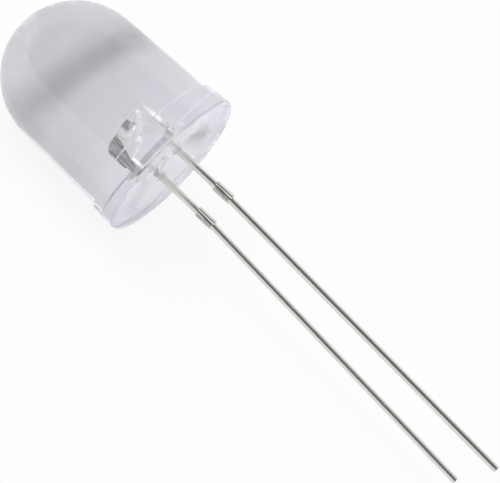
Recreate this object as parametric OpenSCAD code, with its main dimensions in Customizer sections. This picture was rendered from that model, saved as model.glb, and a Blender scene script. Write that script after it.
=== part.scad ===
// Round through-hole LED, 10 mm, with a water-clear cast lens and two square leads.
// Seven pieces: the lens, the two halves of the leadframe, the chip with its
// electrode and die attach, and the bond wire. The lens is cast round the others,
// so every piece meets its neighbours face to face.
//
// Units are mm. The origin is the centre of the rim that the lens stands on.
// The leads run along +X, the dome points to -X, the anode lead is on the +Z side.

/* [Lens] */
// Diameter of the body where it leaves the flange
body_diameter = 10; // [3:0.1:12]
// Height of the straight land above the shoulder, where a holder grips the body
body_land = 2; // [0.2:0.1:3]
// Mould draft of the body wall above that land, in degrees
body_draft = 1.6; // [0:0.05:3]
// Height of the dome's centre above the rim
dome_centre = 8.46; // [4:0.02:12]
// Diameter of the flange at the rim
flange_diameter = 10.72; // [5:0.02:14]
// Mould draft of the flange wall, in degrees
flange_draft = 4.6; // [0:0.1:8]
// Height of the flange's wall above the rim
flange_height = 1.74; // [0.5:0.02:3]
// Height of the sloping shoulder between the flange's wall and the body
shoulder_height = 0.12; // [0.05:0.01:0.4]
// Radius of the flange's rounded foot
foot_radius = 0.18; // [0.1:0.01:0.6]
// Depth of the hollow in the base, left where the resin shrank
dish_depth = 0.3; // [0.1:0.01:0.6]
// Width of the flat rim round that hollow
rim_width = 0.4; // [0.1:0.01:1]
// Diameter of the resin that climbs each lead, where it ends on the lead
creep_diameter = 0.72; // [0.65:0.01:1]
// How far that resin spreads round each lead on its way up to the base
creep_spread = 0.55; // [0.2:0.01:0.8]

/* [Leads] */
// Distance between the leads where they leave the lens
lead_pitch = 2.54; // [2.3:0.01:3.2]
// Side of a lead's square section, also the thickness of the leadframe's sheet
lead_size = 0.43; // [0.3:0.01:0.6]
// Radius of a lead's long edges
lead_edge = 0.12; // [0.02:0.01:0.14]
// Distance from the rim to the tip of the anode lead
anode_reach = 27.1; // [5:0.1:40]
// Distance from the rim to the tip of the cathode lead
cathode_reach = 25.9; // [5:0.1:40]
// Lean of the anode lead beyond its stop, in degrees
anode_lean_angle = 3.2; // [0:0.1:8]
// Lean of the cathode lead beyond its stop, in degrees
cathode_lean_angle = 4.4; // [0:0.1:8]
// Distance from the rim to the middle of the stops
stop_distance = 3.6; // [2:0.1:6]
// Length of a stop, the stub of the cut tie bar
stop_length = 1.4; // [0.5:0.1:3]
// Width of a lead over its stop
stop_width = 0.69; // [0.5:0.01:1.2]
// Radius of a stop's corners
stop_corner = 0.1; // [0.05:0.01:0.2]

/* [Leadframe] */
// Height of the frame's upper edge above the rim
frame_top = 3.68; // [3:0.01:6]
// How far each half of the frame reaches out past its lead
frame_overhang = 0.02; // [0:0.005:0.4]
// Height above the rim where the anode post runs into its lead
post_bottom = 1.3; // [0.6:0.01:2]
// Height above the rim where the cathode plate runs into its lead
plate_bottom = 1.7; // [0.8:0.01:2]
// Radius of the rounded corner on the cathode half
frame_corner = 0.5; // [0.1:0.01:0.8]
// Width of the anode post at its top, where the bond wire lands
post_top_width = 0.285; // [0.25:0.005:0.4]
// Height below the frame's top where the post starts to widen
post_shoulder = 0.63; // [0.4:0.01:1]
// Distance from the axis to the tip of the post
post_tip = 0.5; // [0.2:0.01:0.8]
// Width of the straight slot between the halves, at the top
slot_width = 0.27; // [0.15:0.01:0.35]
// Width of the slanted gap between the halves
gap_width = 0.46; // [0.3:0.01:0.6]
// Slant of that gap, in degrees from level
gap_slant_angle = 46; // [40:1:50]
// Distance from the axis to the tip of the cathode plate, on the cathode side
plate_tip = 0.15; // [0:0.01:0.3]
// Height of the short straight edges at both tips
tip_height = 0.3; // [0.1:0.01:0.5]

/* [Cup and chip] */
// Outer diameter of the cup
cup_diameter = 1.18; // [1.04:0.01:1.5]
// Diameter of the cup's mouth
cup_mouth = 0.92; // [0.8:0.01:1]
// Diameter of the cup's floor
cup_floor = 0.6; // [0.5:0.01:0.85]
// Depth of the cup
cup_depth = 0.36; // [0.2:0.01:0.5]
// Height of the straight band round the cup
cup_band = 0.6; // [0.45:0.01:0.8]
// Height of the flare under that band
cup_flare = 0.6; // [0.3:0.01:0.8]
// Diameter of the flare at its foot
cup_stem = 0.5; // [0.45:0.01:1]
// Side of the square chip
chip_size = 0.32; // [0.2:0.01:0.38]
// Height of the chip
chip_height = 0.15; // [0.08:0.01:0.25]
// Diameter of the gold electrode on the chip
electrode_diameter = 0.11; // [0.06:0.01:0.2]
// Thickness of the silver paste under the chip
paste_height = 0.03; // [0.01:0.005:0.06]
// How far the paste shows round the chip's corners
paste_margin = 0.02; // [0.005:0.005:0.05]
// Diameter of the bond wire
wire_diameter = 0.03; // [0.02:0.005:0.05]
// Height of the wire's loop above the frame
wire_loop = 0.3; // [0.15:0.01:0.6]

/* [Node] */
// Piece to draw

/* [Hidden] */
$fn = 96;
body_radius = body_diameter / 2;
flange_radius = flange_diameter / 2;
flange_top_radius = flange_radius - (flange_height - foot_radius) * tan(flange_draft);
shoulder_top = flange_height + shoulder_height;
land_top = shoulder_top + body_land;
// The dome is a sphere that the drafted wall meets without a corner.
dome_radius = (body_radius - (dome_centre - land_top) * tan(body_draft)) * cos(body_draft);
wall_top = dome_centre + dome_radius * sin(body_draft);
wall_top_radius = dome_radius * cos(body_draft);
dish_edge = flange_radius - foot_radius - rim_width;
dish_sphere = (dish_edge * dish_edge + dish_depth * dish_depth) / (2 * dish_depth);
creep_end = 0.03;
creep_height = dish_depth + 0.1;
half_pitch = lead_pitch / 2;
lead_inner = half_pitch - lead_size / 2;
frame_half = half_pitch + lead_size / 2 + frame_overhang;
post_inner = frame_half - post_top_width;
post_bend = frame_top - post_shoulder;
// Height of each tip, where its half's slanted edge ends.
post_tip_height = post_bend - (post_inner - post_tip) * tan(gap_slant_angle);
gap_across = gap_width / sin(gap_slant_angle);
plate_inner = post_inner - slot_width;
plate_bend = post_bend + (plate_inner - post_inner + gap_across) * tan(gap_slant_angle);
plate_tip_height = plate_bend - (plate_inner + plate_tip) * tan(gap_slant_angle);
cup_radius = cup_diameter / 2;
cup_floor_height = frame_top - cup_depth;
chip_bottom = cup_floor_height + paste_height;
electrode_bottom = chip_bottom + chip_height;
electrode_height = 0.01;
wire_start = electrode_bottom + electrode_height;
wire_bend = wire_loop / 2;
wire_end = frame_half - post_top_width / 2;
overlap = 0.2;

// The body's outer skin: flange with a rounded foot, shoulder, straight land, drafted wall, dome.
module lens_form() {
    rotate_extrude() translate([flange_radius - foot_radius, foot_radius]) circle(r = foot_radius);
    cylinder(h = foot_radius, r = flange_radius - foot_radius);
    translate([0, 0, foot_radius])
        cylinder(h = flange_height - foot_radius, r1 = flange_radius, r2 = flange_top_radius);
    translate([0, 0, flange_height]) cylinder(h = shoulder_height, r1 = flange_top_radius, r2 = body_radius);
    translate([0, 0, shoulder_top]) cylinder(h = body_land, r = body_radius);
    translate([0, 0, land_top]) cylinder(h = wall_top - land_top, r1 = body_radius, r2 = wall_top_radius);
    translate([0, 0, dome_centre]) sphere(r = dome_radius);
}

// Resin that climbs a lead, a cone standing in the hollow of the base.
module creep(side) {
    translate([side * half_pitch, 0, creep_end])
        cylinder(h = creep_height, r1 = creep_diameter / 2, r2 = creep_diameter / 2 + creep_spread);
}

module lens_blank() {
    difference() {
        lens_form();
        difference() {
            translate([0, 0, dish_depth - dish_sphere]) sphere(r = dish_sphere);
            creep(1);
            creep(-1);
        }
    }
}

// A lead's section, a square with rounded corners.
module lead_section() {
    inner = lead_size - 2 * lead_edge;
    square([lead_size, inner], center = true);
    square([inner, lead_size], center = true);
    for (x = [-1, 1], y = [-1, 1]) translate([x * inner / 2, y * inner / 2]) circle(r = lead_edge);
}

// Outline of a stop, seen along the sheet's thickness, with rounded corners.
module stop_outline() {
    inner = [stop_width - 2 * stop_corner, stop_length - 2 * stop_corner];
    square([stop_width, inner.y], center = true);
    square([inner.x, stop_length], center = true);
    for (x = [-1, 1], y = [-1, 1]) translate([x * inner.x / 2, y * inner.y / 2]) circle(r = stop_corner);
}

// A plate of the leadframe's sheet, from an outline drawn in x and height.
module plate(thickness = lead_size) {
    rotate([90, 0, 0]) linear_extrude(height = thickness, center = true) children();
}

// A lead below the frame: straight to its stop, then leaning to its tip.
module leg(side, lean_angle, reach, root) {
    length = (reach - stop_distance) / cos(lean_angle);
    translate([side * half_pitch, 0, -stop_distance]) {
        linear_extrude(height = stop_distance + root + overlap) lead_section();
        rotate([0, lean_angle, 0]) translate([0, 0, -length]) linear_extrude(height = length) lead_section();
        plate() stop_outline();
    }
}

// The anode half: a post that widens to a tip beside the gap, and its lead.
module anode_form() {
    plate() polygon([
        [frame_half, post_bottom],
        [frame_half, frame_top],
        [post_inner, frame_top],
        [post_inner, post_bend],
        [post_tip, post_tip_height],
        [post_tip, post_tip_height - tip_height],
        [lead_inner, post_bottom]
    ]);
    leg(1, anode_lean_angle, anode_reach, post_bottom);
}

// Outline of the cathode half above its lead, with a rounded outer corner.
module plate_outline() {
    polygon([
        [-frame_half, plate_bottom],
        [-frame_half, frame_top - frame_corner],
        [-frame_half + frame_corner, frame_top],
        [plate_inner, frame_top],
        [plate_inner, plate_bend],
        [-plate_tip, plate_tip_height],
        [-plate_tip, plate_tip_height - tip_height],
        [-lead_inner, plate_bottom]
    ]);
    translate([frame_corner - frame_half, frame_top - frame_corner]) circle(r = frame_corner);
}

// The head round the cup, upset from the sheet: a straight band over a flare.
module cup_head() {
    translate([0, 0, frame_top - cup_band - cup_flare])
        cylinder(h = cup_flare, r1 = cup_stem / 2, r2 = cup_radius);
    translate([0, 0, frame_top - cup_band]) cylinder(h = cup_band, r = cup_radius);
}

// The cathode half: a wide plate with the cup's head on the axis, cut off by the gap, and its lead.
module cathode_form() {
    difference() {
        union() {
            plate() plate_outline();
            intersection() {
                cup_head();
                plate(cup_diameter + overlap) plate_outline();
            }
        }
        cup_space();
    }
    leg(-1, cathode_lean_angle, cathode_reach, plate_bottom);
}

// The space of the cup, a cone that opens upwards.
module cup_space() {
    slope = (cup_mouth - cup_floor) / 2 / cup_depth;
    translate([0, 0, cup_floor_height])
        cylinder(h = cup_depth + overlap, r1 = cup_floor / 2, r2 = cup_mouth / 2 + overlap * slope);
}

module chip_form() {
    translate([-chip_size / 2, -chip_size / 2, chip_bottom]) cube([chip_size, chip_size, chip_height]);
}

module electrode_form() {
    translate([0, 0, electrode_bottom]) cylinder(h = electrode_height, d = electrode_diameter);
}

module paste_form() {
    translate([0, 0, cup_floor_height]) cylinder(h = paste_height, d = chip_size * sqrt(2) + 2 * paste_margin);
}

// The bond wire: up from the electrode, across and down to the top of the post.
module wire_form() {
    top = frame_top + wire_loop;
    translate([0, 0, wire_start]) cylinder(h = top - wire_bend - wire_start, d = wire_diameter);
    translate([wire_bend, 0, top - wire_bend]) rotate([90, 0, 0]) rotate([0, 0, 90])
        rotate_extrude(angle = 90) translate([wire_bend, 0]) circle(d = wire_diameter);
    translate([wire_bend, 0, top]) rotate([0, 90, 0])
        cylinder(h = wire_end - 2 * wire_bend, d = wire_diameter);
    translate([wire_end - wire_bend, 0, top - wire_bend]) rotate([90, 0, 0])
        rotate_extrude(angle = 90) translate([wire_bend, 0]) circle(d = wire_diameter);
    translate([wire_end, 0, frame_top]) cylinder(h = wire_loop - wire_bend, d = wire_diameter);
}

// Lays the upright part down: the leads to +X, the anode side up.
module lay() {
    rotate([0, -90, 0]) children();
}

module lens() {
    color([0.86, 0.85, 0.9, 0.35]) lay() difference() {
        lens_blank();
        anode_form();
        cathode_form();
        chip_form();
        electrode_form();
        paste_form();
        wire_form();
    }
}

module anode_lead() {
    color([0.78, 0.78, 0.75]) lay() anode_form();
}

module cathode_lead() {
    color([0.78, 0.78, 0.75]) lay() cathode_form();
}

module led_chip() {
    color([0.3, 0.32, 0.36]) lay() chip_form();
}

module chip_electrode() {
    color([0.85, 0.68, 0.3]) lay() electrode_form();
}

module die_attach() {
    color([0.7, 0.7, 0.68]) lay() paste_form();
}

module bond_wire() {
    color([0.85, 0.68, 0.3]) lay() wire_form();
}

lens();
anode_lead();
cathode_lead();
led_chip();
chip_electrode();
die_attach();
bond_wire();
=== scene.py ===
"""A 10 mm through-hole LED with a water-clear lens, lying on a pale table."""
import math

import bpy
from mathutils import Matrix, Vector


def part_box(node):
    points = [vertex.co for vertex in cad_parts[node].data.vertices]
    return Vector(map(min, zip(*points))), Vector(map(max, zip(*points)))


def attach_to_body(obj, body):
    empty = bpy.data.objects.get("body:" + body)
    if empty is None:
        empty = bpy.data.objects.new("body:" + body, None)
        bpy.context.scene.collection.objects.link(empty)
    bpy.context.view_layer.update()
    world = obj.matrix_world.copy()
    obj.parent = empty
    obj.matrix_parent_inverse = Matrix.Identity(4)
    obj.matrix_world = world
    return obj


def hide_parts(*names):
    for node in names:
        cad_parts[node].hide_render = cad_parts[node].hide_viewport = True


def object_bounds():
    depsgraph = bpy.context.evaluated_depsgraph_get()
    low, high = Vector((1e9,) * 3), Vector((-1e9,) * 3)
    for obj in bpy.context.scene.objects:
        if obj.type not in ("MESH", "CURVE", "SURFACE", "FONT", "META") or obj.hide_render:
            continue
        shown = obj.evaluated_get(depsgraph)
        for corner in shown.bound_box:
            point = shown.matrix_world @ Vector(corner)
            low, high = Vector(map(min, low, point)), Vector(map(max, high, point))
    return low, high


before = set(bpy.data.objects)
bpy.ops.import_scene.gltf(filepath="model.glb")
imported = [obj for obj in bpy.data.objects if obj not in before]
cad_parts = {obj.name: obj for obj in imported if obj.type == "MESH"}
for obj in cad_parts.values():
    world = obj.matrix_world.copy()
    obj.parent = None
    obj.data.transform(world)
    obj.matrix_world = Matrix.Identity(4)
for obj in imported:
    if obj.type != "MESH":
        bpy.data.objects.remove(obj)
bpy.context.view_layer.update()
MM = 0.001


# Leadframe, both halves
# Each half is one stamping of tin-plated iron sheet: a lead with the stub of its tie bar, and above it the
# post or the plate with the cup. The punch leaves the edges slightly rounded, so a fine bevel goes round each.
# The leads are drawn anew, rounder than the sheet, with the stub as a stop across them.
FRAME_EDGE = 0.022 * MM
FRAME_SHARP = math.radians(28)
LEAD_SIZE = 0.43 * MM
LEAD_ROUND = 0.17 * MM
LEAD_PITCH = 2.54 * MM
LEG_START = -1.2 * MM
LEG_OVERLAP = 0.01 * MM
TIP_LENGTH = 0.03 * MM
TIP_TAPER = 0.88
ANODE_REACH = 27.1 * MM
ANODE_LEAN = math.radians(3.2)
CATHODE_REACH = 25.9 * MM
CATHODE_LEAN = math.radians(4.4)
STOP_MIDDLE = 3.6 * MM
STOP_SIZE = (1.4 * MM, 0.3 * MM, 0.69 * MM)
STOP_EDGE = 0.06 * MM


def select_only(piece):
    """Leaves one object selected and active."""
    bpy.ops.object.select_all(action="DESELECT")
    piece.select_set(True)
    bpy.context.view_layer.objects.active = piece


def copy_of_node(node, name):
    """A separate copy of a solid's mesh with its loose triangles joined up."""
    piece = bpy.data.objects.new(name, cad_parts[node].data.copy())
    bpy.context.scene.collection.objects.link(piece)
    select_only(piece)
    bpy.ops.object.mode_set(mode="EDIT")
    bpy.ops.mesh.select_all(action="SELECT")
    bpy.ops.mesh.remove_doubles(threshold=0.0002 * MM)
    bpy.ops.mesh.dissolve_limited(angle_limit=math.radians(0.6))
    bpy.ops.object.mode_set(mode="OBJECT")
    return piece


def soften_edges(piece, width, sharp, segments=2):
    """Rounds every edge that is sharper than the given angle."""
    select_only(piece)
    bevel = piece.modifiers.new("edge", "BEVEL")
    bevel.width = width
    bevel.segments = segments
    bevel.limit_method = "ANGLE"
    bevel.angle_limit = sharp
    bpy.ops.object.modifier_apply(modifier="edge")
    bpy.ops.object.shade_smooth_by_angle(angle=math.radians(32))


def draw_leg(stamping, height, lean, reach):
    """Cuts the lead off a stamping and draws it anew from a rounded square, with the stop's stub across it."""
    select_only(stamping)
    bpy.ops.object.mode_set(mode="EDIT")
    bpy.ops.mesh.select_all(action="SELECT")
    bpy.ops.mesh.bisect(plane_co=(LEG_START, 0, 0), plane_no=(1, 0, 0), clear_outer=True, use_fill=True)
    bpy.ops.object.mode_set(mode="OBJECT")
    bpy.ops.object.select_all(action="DESELECT")
    x, z = LEG_START - LEG_OVERLAP, height
    bpy.ops.mesh.primitive_plane_add(size=LEAD_SIZE, location=(x, 0, z), rotation=(0, math.pi / 2, 0))
    leg = bpy.context.object
    bpy.ops.object.transform_apply(location=True, rotation=True, scale=True)
    bpy.ops.object.mode_set(mode="EDIT")
    bpy.ops.mesh.select_all(action="SELECT")
    bpy.ops.mesh.bevel(offset=LEAD_ROUND, segments=8, affect="VERTICES")
    for next_x in [0, STOP_MIDDLE] + spaced(STOP_MIDDLE, reach - TIP_LENGTH, 12)[1:] + [reach]:
        next_z = height - max(0.0, next_x - STOP_MIDDLE) * math.tan(lean)
        bpy.ops.mesh.extrude_region_move(TRANSFORM_OT_translate={"value": (next_x - x, 0, next_z - z)})
        x, z = next_x, next_z
    bpy.ops.transform.resize(value=(1, TIP_TAPER, TIP_TAPER), center_override=(x, 0, z))
    bpy.ops.mesh.select_all(action="SELECT")
    bpy.ops.mesh.normals_make_consistent(inside=False)
    bpy.ops.object.mode_set(mode="OBJECT")
    bpy.ops.mesh.primitive_cube_add(size=1, location=(STOP_MIDDLE, 0, height), scale=STOP_SIZE)
    stub = bpy.context.object
    bpy.ops.object.transform_apply(location=True, rotation=True, scale=True)
    soften_edges(stub, STOP_EDGE, math.radians(30), 4)
    leg.select_set(True)
    stamping.select_set(True)
    bpy.context.view_layer.objects.active = stamping
    bpy.ops.object.join()
    bpy.ops.object.shade_smooth_by_angle(angle=math.radians(32))


def spaced(start, end, count):
    """Evenly spaced values from start to end."""
    return [start + (end - start) * step / count for step in range(count + 1)]


def finish_piece(piece, material, node):
    """Gives a piece its material, puts it under the root body and hides the solid it replaces."""
    piece.data.materials.clear()
    piece.data.materials.append(material)
    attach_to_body(piece, "root")
    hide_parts(node)


class Field:
    """A value that changes over a surface, kept as a node's output."""

    def __init__(self, finish, socket):
        self.finish = finish
        self.socket = socket

    def math(self, operation, first, second):
        return self.finish.node("ShaderNodeMath", {"operation": operation}, {0: first, 1: second})

    def __add__(self, other):
        return self.math("ADD", self, other)

    __radd__ = __add__

    def __sub__(self, other):
        return self.math("SUBTRACT", self, other)

    def __rsub__(self, other):
        return self.math("SUBTRACT", other, self)

    def __mul__(self, other):
        return self.math("MULTIPLY", self, other)

    __rmul__ = __mul__

    def step(self, start, end):
        """0 below start, 1 above end, and a smooth rise between."""
        settings = {"interpolation_type": "SMOOTHSTEP"}
        return self.finish.node("ShaderNodeMapRange", settings, {0: self, 1: start, 2: end, 3: 0.0, 4: 1.0})


class Finish:
    """A material, world or floor finish whose nodes are written as expressions."""

    def __init__(self, name, owner=None, **fixed):
        self.data = owner or bpy.data.materials.new(name)
        self.data.use_nodes = True
        self.tree = self.data.node_tree
        self.shader = self.tree.nodes.get("Principled BSDF")
        for socket, value in fixed.items():
            self.shader.inputs[socket.replace("_", " ")].default_value = value

    def put(self, socket, value):
        """Sets a socket, or links it to a field."""
        if isinstance(value, Field):
            self.tree.links.new(value.socket, socket)
        else:
            socket.default_value = value

    def node(self, kind, settings=None, inputs=None, output=0):
        """Adds one node and returns one of its outputs as a field."""
        added = self.tree.nodes.new(kind)
        for key, value in (settings or {}).items():
            setattr(added, key, value)
        for key, value in (inputs or {}).items():
            self.put(added.inputs[key], value)
        return Field(self, added.outputs[output])

    def place(self):
        """The place on the piece, in millimetres."""
        spot = self.node("ShaderNodeTexCoord", output="Object")
        settings = {"operation": "SCALE"}
        return self.node("ShaderNodeVectorMath", settings, {0: spot, "Scale": 1 / MM})

    def axes(self, place):
        """The X, Y and Z of a place, as three fields."""
        return [self.node("ShaderNodeSeparateXYZ", {}, {0: place}, axis) for axis in "XYZ"]

    def stretched(self, place, along, across):
        """The place with its X scaled apart from its Y and Z, for grain that runs along the leads."""
        settings = {"operation": "MULTIPLY"}
        return self.node("ShaderNodeVectorMath", settings, {0: place, 1: (along, across, across)})

    def noise(self, place, scale, detail=3.0):
        return self.node("ShaderNodeTexNoise", {}, {"Vector": place, "Scale": scale, "Detail": detail})

    def blend(self, factor, low, high):
        """Mixes two colours."""
        inputs = {0: factor, 6: low, 7: high}
        return self.node("ShaderNodeMix", {"data_type": "RGBA", "clamp_factor": True}, inputs, output=2)

    def bump(self, height, depth, strength=1.0):
        """A normal from a height field, whose depth is in metres."""
        inputs = {"Height": height, "Strength": strength, "Distance": depth}
        self.put(self.shader.inputs["Normal"], self.node("ShaderNodeBump", {}, inputs))

    def look(self, **fields):
        """Links fields to the shader's sockets."""
        for socket, value in fields.items():
            self.put(self.shader.inputs[socket.replace("_", " ")], value)
        return self.data


def tin_plate():
    """Tin over iron: drawing lines on the leads, a silvered head in the lens, bare cut ends, painted dark
    reflections on the front and a painted light reflection at the leads' roots.
    """
    tin = Finish("tin_plate", Metallic=1.0)
    place = tin.place()
    x, y, z = tin.axes(place)
    lines = tin.noise(tin.stretched(place, 0.5, 14.0), 1.6, 4.0)
    clouds = tin.noise(place, 1.3, 2.0)
    grain = tin.noise(place, 26.0, 2.0)
    colour = tin.blend(clouds, (0.80, 0.81, 0.78, 1), (0.70, 0.70, 0.66, 1))
    colour = tin.blend(lines.step(0.55, 0.8) * 0.5, colour, (0.56, 0.56, 0.53, 1))
    silvered = 1 - x.step(-1.3, -0.9)
    colour = tin.blend(silvered, colour, (0.96, 0.96, 0.88, 1))

    # Painted dark reflections on the front: dark streaks on the cathode plate's outer part and a dark patch on
    # the cup's head, where the metal would mirror dark surroundings.
    front = 1 - y.step(-0.2, -0.1)
    outer = 1 - (z + (x + 3.0) * 0.22 + clouds * 0.12).step(-0.7, -0.62)
    head = x.step(-3.76, -3.66) * (1 - (x + z * 0.6).step(-3.2, -2.9)) * z.step(0.08, 0.3)
    head = head * (1 - y.step(-0.36, -0.3))
    painted_dark_reflection = tin.blend(lines.step(0.42, 0.6), (0.04, 0.04, 0.03, 1), (0.5, 0.5, 0.46, 1))
    colour = tin.blend((outer * front + head) * silvered, colour, painted_dark_reflection)
    # A darker painted reflection on the cup's head.
    colour = tin.blend(head * 0.5, colour, (0.05, 0.05, 0.03, 1))

    # The leads' tips are cut bare and the stops' fronts are darkened in streaks. Near the lens the leads are
    # painted lighter, a painted reflection of the lens's bright base, and are rougher and less metallic there.
    anode_cut = x.step(ANODE_REACH / MM - 0.04, ANODE_REACH / MM - 0.015)
    cathode_cut = x.step(CATHODE_REACH / MM - 0.05, CATHODE_REACH / MM - 0.02) * (1 - z.step(-1.6, -1.4))
    colour = tin.blend((anode_cut + cathode_cut) * 0.6, colour, (0.42, 0.40, 0.37, 1))
    stop = x.step(2.9, 3.1) * (1 - x.step(4.1, 4.3)) * front
    colour = tin.blend(stop * (lines.step(0.4, 0.55) * 0.75 + 0.1), colour, (0.16, 0.16, 0.14, 1))
    # Painted reflection: the leads lighter near the lens's base.
    root = x.step(-1.2, -0.6) * (1 - (x + z * 0.4).step(0.6, 2.6))
    colour = tin.blend(root, colour, (0.92, 0.92, 0.86, 1))

    tin.bump(lines * 0.7 + grain * 0.3, 0.004 * MM, 0.5)
    rough = 0.2 + clouds * 0.12 + grain * 0.06 + root * 0.1
    return tin.look(Base_Color=colour, Roughness=rough, Metallic=1 - root * 0.6)


tin_finish = tin_plate()
anode = copy_of_node("anode_lead", "anode_stamping")
soften_edges(anode, FRAME_EDGE, FRAME_SHARP)
draw_leg(anode, LEAD_PITCH / 2, ANODE_LEAN, ANODE_REACH)
finish_piece(anode, tin_finish, "anode_lead")
cathode = copy_of_node("cathode_lead", "cathode_stamping")
soften_edges(cathode, FRAME_EDGE, FRAME_SHARP)
draw_leg(cathode, -LEAD_PITCH / 2, CATHODE_LEAN, CATHODE_REACH)
finish_piece(cathode, tin_finish, "cathode_lead")


# Die attach
# A dab of silver-filled glue under the chip. It is dispensed wet, so it slumps outwards and its rim is round.
def slump(node, name, steps, spread):
    """Takes a thin disc and lowers its rim in a few bevelled steps."""
    piece = copy_of_node(node, name)
    soften_edges(piece, spread, math.radians(40), steps)
    return piece


def silver_glue():
    glue = Finish("silver_glue", Metallic=0.6)
    flakes = glue.noise(glue.place(), 60.0, 2.0)
    colour = glue.blend(flakes.step(0.4, 0.7), (0.60, 0.60, 0.58, 1), (0.80, 0.80, 0.79, 1))
    glue.bump(flakes, 0.004 * MM)
    return glue.look(Base_Color=colour, Roughness=0.45 + flakes * 0.2)


attach = slump("die_attach", "silver_dab", 3, 0.012 * MM)
finish_piece(attach, silver_glue(), "die_attach")


# Chip
# A sawn square of semiconductor crystal. The saw leaves a shoulder round its edge, so its top is a mesa.
CHIP_SHOULDER = 0.03 * MM
CHIP_STEP = 0.018 * MM


def select_faces(piece, chosen):
    """Enters edit mode with only the faces that pass the test selected."""
    select_only(piece)
    bpy.ops.object.mode_set(mode="EDIT")
    bpy.ops.mesh.select_mode(type="FACE")
    bpy.ops.mesh.select_all(action="DESELECT")
    bpy.ops.object.mode_set(mode="OBJECT")
    for face in piece.data.polygons:
        face.select = chosen(face)
    bpy.ops.object.mode_set(mode="EDIT")


def sawn_chip():
    low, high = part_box("led_chip")
    middle = (Vector(low) + Vector(high)) / 2
    size = Vector(high) - Vector(low)
    bpy.ops.object.select_all(action="DESELECT")
    bpy.ops.mesh.primitive_cube_add(size=1, location=middle, scale=size)
    chip = bpy.context.object
    chip.name = "sawn_chip"
    bpy.ops.object.transform_apply(location=True, rotation=True, scale=True)
    select_faces(chip, lambda face: face.normal.x < -0.9)
    bpy.ops.transform.translate(value=(CHIP_STEP, 0, 0))
    bpy.ops.mesh.inset(thickness=CHIP_SHOULDER, depth=0)
    bpy.ops.transform.translate(value=(-CHIP_STEP, 0, 0))
    bpy.ops.object.mode_set(mode="OBJECT")
    soften_edges(chip, 0.004 * MM, math.radians(20))
    return chip


def crystal():
    stone = Finish("crystal", IOR=2.4, Metallic=0.2)
    place = stone.place()
    facets = stone.noise(place, 14.0, 2.0)
    colour = stone.blend(facets, (0.24, 0.26, 0.31, 1), (0.38, 0.40, 0.44, 1))
    return stone.look(Base_Color=colour, Roughness=0.14 + facets * 0.2)


finish_piece(sawn_chip(), crystal(), "led_chip")


# Chip's electrode
# A round pad of evaporated gold on the chip, where the bond wire is welded on as a squashed ball.
def bare_gold():
    gold = Finish("bare_gold", Metallic=1.0)
    wear = gold.noise(gold.place(), 40.0, 3.0)
    colour = gold.blend(wear, (0.88, 0.66, 0.26, 1), (0.80, 0.56, 0.20, 1))
    return gold.look(Base_Color=colour, Roughness=0.18 + wear * 0.15)


gold_finish = bare_gold()
pad = slump("chip_electrode", "gold_pad", 2, 0.003 * MM)
finish_piece(pad, gold_finish, "chip_electrode")


# Bond wire
# One 30 micron gold wire in a low loop across the slot, from the electrode to the post; its ball and its wedge
# are not drawn.
WIRE_RADIUS = 0.015 * MM
WIRE_SIDES = 16


def looped_wire():
    low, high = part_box("bond_wire")
    top = low[0] + WIRE_RADIUS
    start = Vector((high[0], 0, low[2] + WIRE_RADIUS))
    end = Vector((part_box("anode_lead")[0][0], 0, high[2] - WIRE_RADIUS))
    route = bpy.data.curves.new("bond_loop", "CURVE")
    route.dimensions = "3D"
    route.bevel_depth = WIRE_RADIUS
    route.bevel_resolution = WIRE_SIDES // 4
    route.resolution_u = 24
    route.use_fill_caps = True
    line = route.splines.new("BEZIER")
    line.bezier_points.add(3)
    bend = 0.15 * MM
    knots = [
        (start, (-bend, 0, 0)),
        (Vector((top, 0, start.z + bend)), (0, 0, bend * 0.6)),
        (Vector((top, 0, end.z - bend)), (0, 0, bend * 0.6)),
        (end, (bend * 0.5, 0, 0)),
    ]
    for point, (spot, pull) in zip(line.bezier_points, knots):
        point.co = spot
        point.handle_left_type = point.handle_right_type = "FREE"
        point.handle_left = spot - Vector(pull)
        point.handle_right = spot + Vector(pull)
    wire = bpy.data.objects.new("gold_wire", route)
    bpy.context.scene.collection.objects.link(wire)
    select_only(wire)
    bpy.ops.object.convert(target="MESH")
    bpy.ops.object.shade_smooth_by_angle(angle=math.radians(50))
    return bpy.context.object


finish_piece(looped_wire(), gold_finish, "bond_wire")


# Lens
# One casting of clear epoxy round the leadframe: dome, drafted wall, flange with a rounded foot, dished base.
# Its resin climbed the leads a little while it was wet, which leaves a collar round each one.
SIDES = 240
DOME_CENTRE = -8.46 * MM
WALL_DRAFT = math.radians(1.6)
LAND_END = -3.86 * MM
BODY_RADIUS = 5.0 * MM
SHOULDER_X = -1.86 * MM
FLANGE_TOP_X = -1.74 * MM
FLANGE_DRAFT = math.radians(4.6)
FLANGE_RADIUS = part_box("lens")[1][1]
FOOT = 0.18 * MM
FOOT_STEPS = 10
CORNER = 0.05 * MM
RIM = 0.4 * MM
DISH_DEPTH = 0.3 * MM
DISH_STEPS = 74
COLLAR_RISE = 0.27 * MM
COLLAR_REACH = 0.62 * MM
COLLAR_SEED = 0.05 * MM
RESIN_CLEARNESS = 0.77
RESIN_GLOW = 0.38


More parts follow.
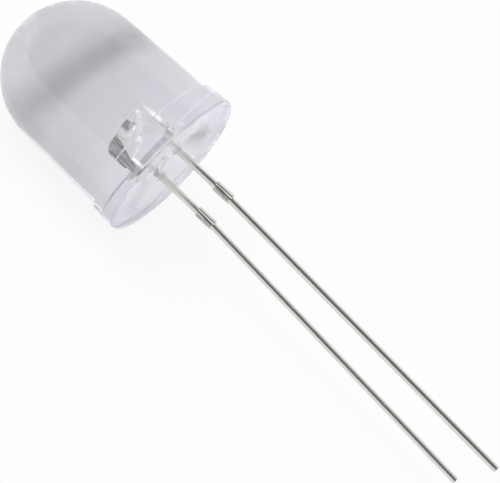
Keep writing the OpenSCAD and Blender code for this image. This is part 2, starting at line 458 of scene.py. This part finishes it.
def cast_lens():
    """Starts from a ball for the dome and draws the wall, flange and base out of its open rim, ring by ring."""
    dome = (BODY_RADIUS - (LAND_END - DOME_CENTRE) * math.tan(WALL_DRAFT)) * math.cos(WALL_DRAFT)
    bpy.ops.object.select_all(action="DESELECT")
    bpy.ops.mesh.primitive_uv_sphere_add(
        segments=SIDES,
        ring_count=SIDES // 2,
        radius=dome,
        location=(DOME_CENTRE, 0, 0),
        rotation=(0, math.pi / 2, 0),
    )
    lens = bpy.context.object
    lens.name = "cast_lens"
    bpy.ops.object.transform_apply(location=True, rotation=True, scale=True)
    bpy.ops.object.mode_set(mode="EDIT")
    bpy.ops.mesh.select_all(action="SELECT")
    join = DOME_CENTRE - dome * math.sin(WALL_DRAFT)
    bpy.ops.mesh.bisect(plane_co=(join, 0, 0), plane_no=(1, 0, 0), clear_outer=True)
    radius = dome * math.cos(WALL_DRAFT)
    rings = [(x, BODY_RADIUS - (LAND_END - x) * math.tan(WALL_DRAFT)) for x in spaced(join, LAND_END, 12)[1:]]
    rings += [(x, BODY_RADIUS) for x in spaced(LAND_END, SHOULDER_X - 2 * CORNER, 5)[1:]]
    neck = (SHOULDER_X, BODY_RADIUS)
    lip = (FLANGE_TOP_X, FLANGE_RADIUS - (-FOOT - FLANGE_TOP_X) * math.tan(FLANGE_DRAFT))
    rings += rounded(rings[-1], neck, lip, CORNER, 5)
    rings += rounded(neck, lip, (-FOOT, FLANGE_RADIUS), CORNER, 6)
    rings += [
        (x, FLANGE_RADIUS - (-FOOT - x) * math.tan(FLANGE_DRAFT)) for x in spaced(rings[-1][0], -FOOT, 5)[1:]
    ]
    for turn in spaced(0, math.pi / 2, FOOT_STEPS)[1:]:
        rings.append((-FOOT + FOOT * math.sin(turn), FLANGE_RADIUS - FOOT + FOOT * math.cos(turn)))
    edge = FLANGE_RADIUS - FOOT - RIM
    rings.append((0, edge + RIM / 2))
    ball = (edge**2 + DISH_DEPTH**2) / (2 * DISH_DEPTH)
    radii = spaced(edge, edge / DISH_STEPS, DISH_STEPS)
    dish = [(ball - DISH_DEPTH - math.sqrt(ball**2 - r**2), r) for r in radii]
    rings += rounded(rings[-1], (0, edge), dish[2], CORNER, 3)
    rings += dish[2:]
    x = join
    for next_x, next_radius in rings:
        bpy.ops.mesh.extrude_edges_move(TRANSFORM_OT_translate={"value": (next_x - x, 0, 0)})
        grow = next_radius / radius
        bpy.ops.transform.resize(value=(1, grow, grow), center_override=(next_x, 0, 0))
        x, radius = next_x, next_radius
    bpy.ops.mesh.extrude_edges_move(TRANSFORM_OT_translate={"value": (0, 0, 0)})
    bpy.ops.mesh.merge(type="CENTER")
    bpy.ops.mesh.select_all(action="SELECT")
    bpy.ops.mesh.normals_make_consistent(inside=False)
    for side in (-1, 1):
        raise_collar(lens, side * LEAD_PITCH / 2)
    bpy.ops.object.mode_set(mode="OBJECT")
    bpy.ops.object.shade_smooth_by_angle(angle=math.radians(20))
    return lens


def rounded(before, corner, after, radius, steps):
    """The points of an arc that rounds one corner of the lens's profile."""
    corner = Vector(corner)
    back = (Vector(before) - corner).normalized()
    ahead = (Vector(after) - corner).normalized()
    half = back.angle(ahead) / 2
    centre = corner + (back + ahead).normalized() * (radius / math.sin(half))
    start = corner + back * (radius / math.tan(half)) - centre
    end = corner + ahead * (radius / math.tan(half)) - centre
    return [tuple(centre + start.lerp(end, step / steps).normalized() * radius) for step in range(steps + 1)]


def raise_collar(lens, height):
    """Pulls the base out round a lead, with a soft hollow curve down to the dish."""
    bpy.ops.mesh.select_mode(type="VERT")
    bpy.ops.mesh.select_all(action="DESELECT")
    bpy.ops.object.mode_set(mode="OBJECT")
    for corner in lens.data.vertices:
        away = math.hypot(corner.co.y, corner.co.z - height)
        corner.select = away < COLLAR_SEED and corner.co.x > -2 * DISH_DEPTH
    bpy.ops.object.mode_set(mode="EDIT")
    bpy.ops.transform.translate(
        value=(COLLAR_RISE, 0, 0),
        use_proportional_edit=True,
        proportional_edit_falloff="SHARP",
        proportional_size=COLLAR_REACH,
    )


def clear_epoxy():
    """Water-clear epoxy, slightly lavender, with faint haze, the mould's ripple, a painted grey band of shade
    on the dome and a faint painted glow.
    """
    resin = Finish(
        "clear_epoxy", IOR=1.53, Transmission_Weight=RESIN_CLEARNESS, Emission_Strength=RESIN_GLOW
    )
    place = resin.place()
    x, y, z = resin.axes(place)
    haze = resin.noise(place, 0.35, 2.0)
    ripple = resin.noise(place, 0.7, 1.0)
    colour = resin.blend(haze, (0.60, 0.595, 0.64, 1), (0.78, 0.775, 0.82, 1))
    # Lighter and more lavender towards the base.
    colour = resin.blend((x + z * 0.4).step(-4.5, -1.0), colour, (0.81, 0.80, 0.87, 1))
    # Painted shade: a soft grey band across the dome, standing in for a dark part of the surroundings seen
    # through it.
    along = x - y * 0.08 - z * 0.33 + haze * 1.2
    band = along.step(-9.4, -7.8) * (1 - along.step(-7.6, -6.0)) * (ripple * 0.9 + 0.45)
    colour = resin.blend(band * 0.9, colour, (0.46, 0.46, 0.48, 1))

    # Painted light: where a ray was mirrored twice inside the resin, the resin glows faintly, in place of the
    # light that later bounces would bring.
    mirrored = resin.node("ShaderNodeLightPath", output="Glossy Depth").step(1.4, 1.6)
    glow = resin.blend(mirrored, (0, 0, 0, 1), (0.74, 0.73, 0.80, 1))
    resin.bump(ripple, 0.006 * MM, 0.3)
    return resin.look(Base_Color=colour, Roughness=0.01 + haze * 0.03, Emission_Color=glow)


finish_piece(cast_lens(), clear_epoxy(), "lens")


# Table and light
# A white table under a bright tent. The tent's open side, where a photographer stands, is darker, so that
# smooth metal has something to mirror. Through the resin the tent shows a soft box behind and one beyond the
# dome. One large lamp high at the left gives the shadow its side.
TABLE_SIZE = 1.2
TABLE_GAP = 0.00001
TABLE_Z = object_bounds()[0][2]
TABLE_GLOW = 0.88
TABLE_BACK_LIGHT = 0.5
TENT_FILL = 0.75
OPEN_SIDE = (0.1515, -0.7460, 0.6485)
BACK_BOX = (-0.2, 0.68, 0.705)
BACK_BOX_LIGHT = 1.5
TIP_BOX = (-0.65, -0.5, 0.572)
TIP_BOX_LIGHT = 1.4
METAL_SHADE = 0.84
RESIN_LIGHT = 0.66


def ray_kinds(finish):
    """What sees a surface: the camera, a mirror or a clear body, each as 0 or 1."""
    kinds = ("Is Camera Ray", "Is Glossy Ray", "Is Transmission Ray")
    return [finish.node("ShaderNodeLightPath", output=kind) for kind in kinds]


def white_table():
    bpy.ops.object.select_all(action="DESELECT")
    bpy.ops.mesh.primitive_plane_add(size=TABLE_SIZE, location=(0, 0, TABLE_Z - TABLE_GAP))
    table = bpy.context.object
    table.name = "table"
    finish = Finish("table_white", Base_Color=(0.88, 0.88, 0.88, 1), Roughness=0.9, Specular_IOR_Level=0.0)
    direct, glossy, through = ray_kinds(finish)
    glow = finish.node("ShaderNodeEmission", {}, {"Color": (1, 1, 1, 1), "Strength": 1.0})
    amount = direct * TABLE_GLOW + (glossy + through) * TABLE_BACK_LIGHT
    mixed = finish.node("ShaderNodeMixShader", {}, {0: amount, 2: glow})
    finish.tree.links.new(finish.shader.outputs[0], mixed.socket.node.inputs[1])
    finish.tree.links.new(mixed.socket, finish.tree.nodes["Material Output"].inputs["Surface"])
    table.data.materials.append(finish.data)


def tent_light():
    world = bpy.context.scene.world or bpy.data.worlds.new("tent")
    bpy.context.scene.world = world
    tent = Finish("tent", owner=world)
    direct, glossy, through = ray_kinds(tent)
    towards = tent.node("ShaderNodeTexCoord", output="Generated")
    facing, behind, beyond = [
        tent.node("ShaderNodeVectorMath", {"operation": "DOT_PRODUCT"}, {0: towards, 1: side}, "Value")
        for side in (OPEN_SIDE, BACK_BOX, TIP_BOX)
    ]
    on_metal = 1 - facing.step(-0.1, 0.3) * METAL_SHADE
    boxes = beyond.step(0.75, 0.96) * TIP_BOX_LIGHT + behind.step(0.94, 0.98) * BACK_BOX_LIGHT
    in_resin = RESIN_LIGHT + boxes
    seen = direct + glossy * on_metal + through * in_resin
    background = tent.tree.nodes.get("Background") or tent.tree.nodes.new("ShaderNodeBackground")
    background.inputs["Color"].default_value = (1, 1, 1, 1)
    strength = seen + (1 - direct - glossy - through) * TENT_FILL
    tent.tree.links.new(strength.socket, background.inputs["Strength"])


def soft_lamp(name, place, size, watts):
    """A round lamp that looks at the origin and shows in no mirror."""
    lamp = bpy.data.lights.new(name, "AREA")
    lamp.shape = "DISK"
    lamp.size = size
    lamp.energy = watts
    holder = bpy.data.objects.new(name, lamp)
    bpy.context.scene.collection.objects.link(holder)
    holder.location = place
    holder.rotation_euler = Vector(place).to_track_quat("Z", "Y").to_euler()
    holder.visible_glossy = False
    holder.visible_transmission = False


white_table()
tent_light()
soft_lamp("high_left", (-0.12, -0.06, 0.22), 0.16, 0.25)


# Camera
# The photograph's viewpoint, fitted to the outline of the lens and the tips of the leads.
CAMERA_PLACE = (20.83 * MM, -69.29 * MM, 60.06 * MM)
CAMERA_SENSOR = 36
CAMERA_LENS = 108
CAMERA_RIGHT = Vector((0.7223, 0.5314, 0.4426)).normalized()
CAMERA_BACK = Vector((0.1515, -0.7460, 0.6485)).normalized()


def place_camera():
    camera = bpy.data.cameras.new("camera")
    camera.sensor_width = CAMERA_SENSOR
    camera.lens = CAMERA_LENS
    camera.clip_start = 0.001
    holder = bpy.data.objects.new("camera", camera)
    bpy.context.scene.collection.objects.link(holder)
    up = CAMERA_BACK.cross(CAMERA_RIGHT).normalized()
    right = up.cross(CAMERA_BACK)
    turn = Matrix((right, up, CAMERA_BACK)).transposed().to_4x4()
    holder.matrix_world = Matrix.Translation(CAMERA_PLACE) @ turn
    bpy.context.scene.camera = holder


place_camera()
bpy.context.scene.view_settings.view_transform = "Standard"
